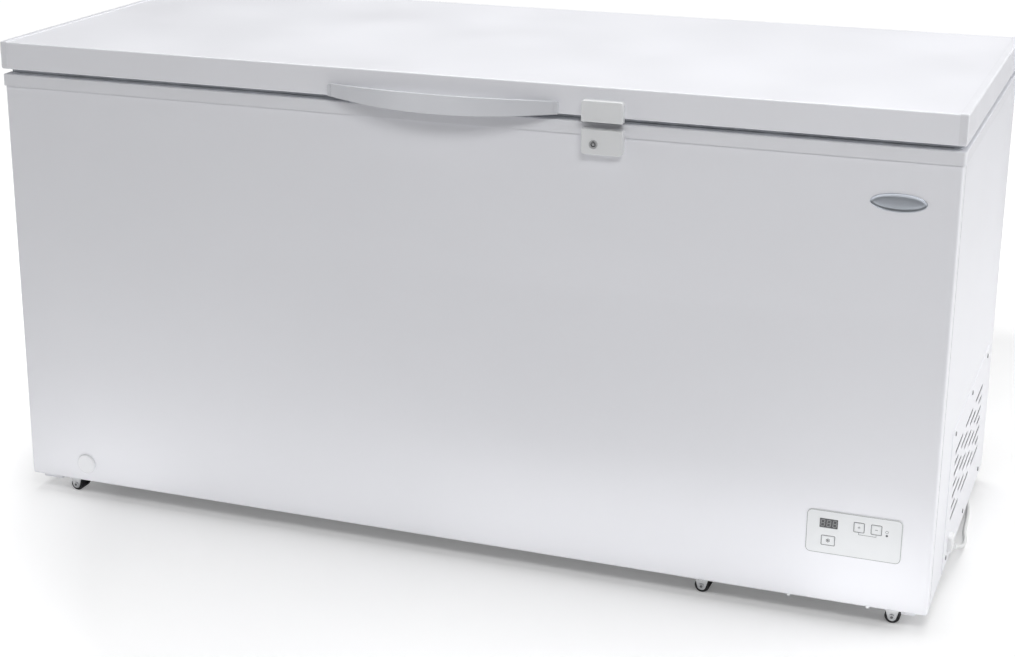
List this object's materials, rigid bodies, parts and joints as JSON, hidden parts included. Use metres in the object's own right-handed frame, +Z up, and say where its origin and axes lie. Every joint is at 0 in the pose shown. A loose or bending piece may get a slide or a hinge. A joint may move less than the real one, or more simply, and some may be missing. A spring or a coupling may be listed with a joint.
{
  "type": "chest freezer",
  "caption": "Long white chest freezer with a hinged lid, bowed front grip, front lock, low control panel and side vent on small casters.",
  "frame": {"origin": "on the floor below the middle of the freezer, measured from the handle's front to the hinges' back", "axes": "+Z up, the front with the handle faces -Y, +X to the right seen from the front"},
  "size_m": [1.6724, 0.8635, 0.8465],
  "materials": {
    "white_paint": "gloss",
    "white_liner": "satin",
    "galvanised": "satin",
    "zinc": "satin",
    "dark_steel": "satin",
    "foam": "matte",
    "trim_plastic": "gloss",
    "handle_plastic": "gloss",
    "grey_gasket": "matte",
    "caster_black": "satin",
    "copper": "satin",
    "aluminium_fin": "satin",
    "compressor_black": "gloss",
    "rubber_black": "matte",
    "black_plastic": "satin",
    "white_plastic": "satin",
    "panel_film": "gloss",
    "display": "gloss",
    "key_plastic": "satin",
    "cord_white": "satin",
    "chrome_lock": "gloss",
    "wire_white": "satin"
  },
  "bodies": {
    "cabinet": {"front_panel": "white_paint", "side_panel_left": "white_paint", "side_panel_right": "white_paint", "back_panel": "galvanised", "base_pan": "galvanised", "compartment_liner": "galvanised", "inner_liner": "white_liner", "evaporator_coil": "aluminium_fin", "insulation": "foam", "top_trim": "trim_plastic", "vent_panel": "white_paint", "fasteners": "zinc", "compressor_plate": "galvanised", "base_rails": "white_paint", "compressor": "compressor_black", "compressor_mounts": "rubber_black", "start_relay": "black_plastic", "fan_shroud": "dark_steel", "fan_motor": "black_plastic", "condenser_tube": "copper", "condenser_fins": "aluminium_fin", "filter_drier": "copper", "refrigerant_pipes": "copper", "control_overlay": "panel_film", "control_housing": "black_plastic", "display_board": "display", "drain_tube": "white_plastic", "caster_brackets": "zinc", "caster_axles": "zinc", "lock_body": "handle_plastic", "hinge_bases": "zinc", "hinge_pins": "zinc", "hinge_springs": "zinc", "strain_relief": "cord_white", "cord_tube": "cord_white", "cord_coil": "cord_white", "mains_plug": "cord_white"},
    "lid": {"lid_shell": "white_paint", "lid_end_caps": "trim_plastic", "lid_liner": "trim_plastic", "lid_foam": "foam", "lid_gasket": "grey_gasket", "handle": "handle_plastic", "strike_cover": "handle_plastic", "hinge_arms": "zinc"},
    "lock_cylinder": {"lock_cylinder": "chrome_lock"},
    "hinge_followers": {"hinge_followers": "zinc"},
    "fan_blade": {"fan_blade": "black_plastic"},
    "basket": {"basket": "wire_white"},
    "drain_cap": {"drain_cap": "white_plastic"},
    "drain_plug": {"drain_plug": "white_plastic"},
    "key_plus": {"key_plus": "key_plastic"},
    "key_minus": {"key_minus": "key_plastic"},
    "key_fast_freeze": {"key_fast_freeze": "key_plastic"},
    "caster_wheel_1": {"caster_wheel_1": "caster_black"},
    "caster_wheel_2": {"caster_wheel_2": "caster_black"},
    "caster_wheel_3": {"caster_wheel_3": "caster_black"},
    "caster_wheel_4": {"caster_wheel_4": "caster_black"},
    "caster_wheel_5": {"caster_wheel_5": "caster_black"},
    "caster_wheel_6": {"caster_wheel_6": "caster_black"}
  },
  "joints": [
    {"name": "lid_hinge", "type": "hinge", "parent": "cabinet", "child": "lid", "pos_m": [0, 0.371, 0.801], "axis": [-1, 0, 0], "range_deg": [0, 75], "stiffness_Nm_per_rad": 23, "springref_deg": 91.67},
    {"name": "follower_slide", "type": "slide", "parent": "cabinet", "child": "hinge_followers", "axis": [0, 0, 1], "range_m": [0, 0.00674], "deforming": ["hinge_springs"]},
    {"name": "lock_turn", "type": "hinge", "parent": "cabinet", "child": "lock_cylinder", "pos_m": [0.26, -0.35, 0.7555], "axis": [0, -1, 0], "range_deg": [0, 90]},
    {"name": "fan_spin", "type": "hinge", "parent": "cabinet", "child": "fan_blade", "pos_m": [0.7145, 0.03, 0.165], "axis": [1, 0, 0], "continuous": true},
    {"name": "basket_slide", "type": "slide", "parent": "cabinet", "child": "basket", "axis": [-1, 0, 0], "range_m": [0, 1.207]},
    {"name": "drain_cap_pull", "type": "slide", "parent": "cabinet", "child": "drain_cap", "axis": [0, -1, 0], "range_m": [0, 0.015]},
    {"name": "drain_plug_lift", "type": "slide", "parent": "cabinet", "child": "drain_plug", "axis": [0, 0, 1], "range_m": [0, 0.03]},
    {"name": "key_plus_press", "type": "slide", "parent": "cabinet", "child": "key_plus", "axis": [0, 1, 0], "range_m": [0, 0.0005], "stiffness_N_per_m": 2000},
    {"name": "key_minus_press", "type": "slide", "parent": "cabinet", "child": "key_minus", "axis": [0, 1, 0], "range_m": [0, 0.0005], "stiffness_N_per_m": 2000},
    {"name": "key_fast_freeze_press", "type": "slide", "parent": "cabinet", "child": "key_fast_freeze", "axis": [0, 1, 0], "range_m": [0, 0.0005], "stiffness_N_per_m": 2000},
    {"name": "wheel_spin_1", "type": "hinge", "parent": "cabinet", "child": "caster_wheel_1", "pos_m": [-0.7475, -0.298, 0.0125], "axis": [0, 1, 0], "continuous": true},
    {"name": "wheel_spin_2", "type": "hinge", "parent": "cabinet", "child": "caster_wheel_2", "pos_m": [-0.7475, 0.318, 0.0125], "axis": [0, 1, 0], "continuous": true},
    {"name": "wheel_spin_3", "type": "hinge", "parent": "cabinet", "child": "caster_wheel_3", "pos_m": [0.455, -0.298, 0.0125], "axis": [0, 1, 0], "continuous": true},
    {"name": "wheel_spin_4", "type": "hinge", "parent": "cabinet", "child": "caster_wheel_4", "pos_m": [0.455, 0.318, 0.0125], "axis": [0, 1, 0], "continuous": true},
    {"name": "wheel_spin_5", "type": "hinge", "parent": "cabinet", "child": "caster_wheel_5", "pos_m": [0.77, -0.298, 0.0125], "axis": [0, 1, 0], "continuous": true},
    {"name": "wheel_spin_6", "type": "hinge", "parent": "cabinet", "child": "caster_wheel_6", "pos_m": [0.77, 0.318, 0.0125], "axis": [0, 1, 0], "continuous": true}
  ],
  "couplings": [
    {"joint": "follower_slide", "follows": "lid_hinge", "m_per_rad": 0.005}
  ]
}
